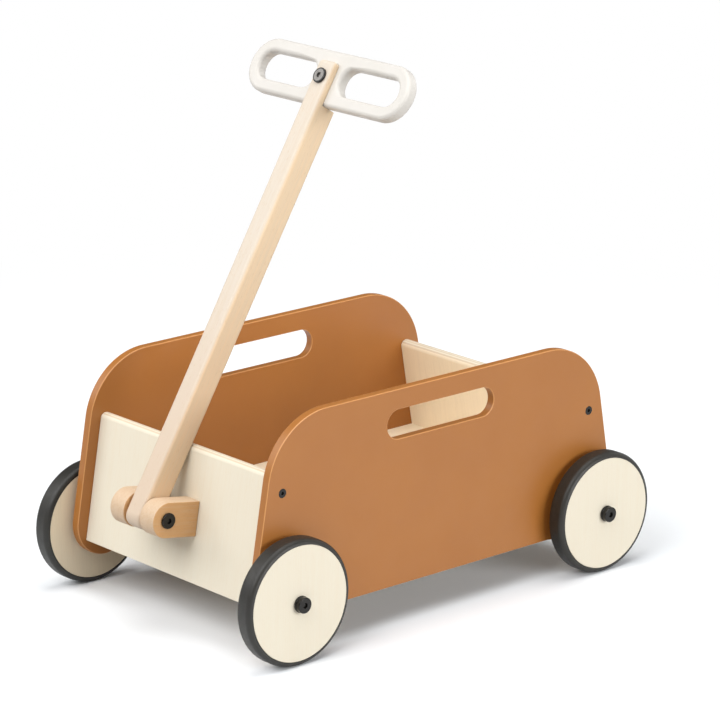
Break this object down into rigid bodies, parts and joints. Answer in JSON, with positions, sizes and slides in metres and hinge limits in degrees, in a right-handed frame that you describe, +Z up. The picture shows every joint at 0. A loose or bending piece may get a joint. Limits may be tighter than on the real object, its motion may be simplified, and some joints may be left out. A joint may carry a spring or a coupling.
{
  "type": "pull-along wagon",
  "caption": "Wooden toy wagon: an open box between two tall painted side panels with hand slots, on rubber-tyred wooden wheels, with a swinging T-handle that leans back on the front panel.",
  "frame": {"origin": "on the floor under the middle of the wagon's bounding box", "axes": "+Z up, -Y the front with the handle, +X across to the right of someone who faces the front"},
  "size_m": [0.3358, 0.512, 0.5157],
  "materials": {
    "painted_wood": "satin caramel paint on fibreboard",
    "birch_plywood": "matt clear lacquer",
    "beech": "matt clear lacquer",
    "handle_wood": "matt clear lacquer",
    "tyre_rubber": "soft matt rubber",
    "black_steel": "black oxide, satin",
    "plated_steel": "zinc plate",
    "black_plastic": "matt moulded",
    "nylon": "natural nylon",
    "ivory_grip": "satin off-white"
  },
  "bodies": {
    "chassis": {"side_panel_right": "painted_wood", "side_panel_left": "painted_wood", "front_panel": "birch_plywood", "rear_panel": "birch_plywood", "floor_panel": "birch_plywood", "front_axle_beam": "beech", "rear_axle_beam": "beech", "panel_screws": "black_steel", "panel_dowels": "beech", "floor_dowels": "beech", "floor_screws": "plated_steel", "axle_inserts": "plated_steel", "axle_bolts": "black_steel", "axle_washers": "black_steel", "wheel_spacers": "black_plastic", "bracket_right": "beech", "bracket_left": "beech", "bracket_screws": "plated_steel", "pivot_bolt": "black_steel", "pivot_sleeve_nut": "black_steel", "pivot_washers": "nylon"},
    "handle": {"handle_bar": "handle_wood", "grip": "ivory_grip", "grip_bolt": "black_steel", "grip_sleeve_nut": "black_steel"},
    "wheel_front_right": {"wheel_disc_front_right": "birch_plywood", "tyre_front_right": "tyre_rubber", "wheel_bush_front_right": "nylon"},
    "wheel_front_left": {"wheel_disc_front_left": "birch_plywood", "tyre_front_left": "tyre_rubber", "wheel_bush_front_left": "nylon"},
    "wheel_rear_right": {"wheel_disc_rear_right": "birch_plywood", "tyre_rear_right": "tyre_rubber", "wheel_bush_rear_right": "nylon"},
    "wheel_rear_left": {"wheel_disc_rear_left": "birch_plywood", "tyre_rear_left": "tyre_rubber", "wheel_bush_rear_left": "nylon"}
  },
  "joints": [
    {"name": "handle_swing", "type": "hinge", "parent": "chassis", "child": "handle", "pos_m": [0, -0.239, 0.11669], "axis": [1, 0, 0], "range_deg": [0, 130]},
    {"name": "front_right_roll", "type": "hinge", "parent": "chassis", "child": "wheel_front_right", "pos_m": [0.1512, -0.18998, 0.06], "axis": [1, 0, 0], "continuous": true},
    {"name": "front_left_roll", "type": "hinge", "parent": "chassis", "child": "wheel_front_left", "pos_m": [-0.1512, -0.18998, 0.06], "axis": [1, 0, 0], "continuous": true},
    {"name": "rear_right_roll", "type": "hinge", "parent": "chassis", "child": "wheel_rear_right", "pos_m": [0.1512, 0.196, 0.06], "axis": [1, 0, 0], "continuous": true},
    {"name": "rear_left_roll", "type": "hinge", "parent": "chassis", "child": "wheel_rear_left", "pos_m": [-0.1512, 0.196, 0.06], "axis": [1, 0, 0], "continuous": true}
  ]
}
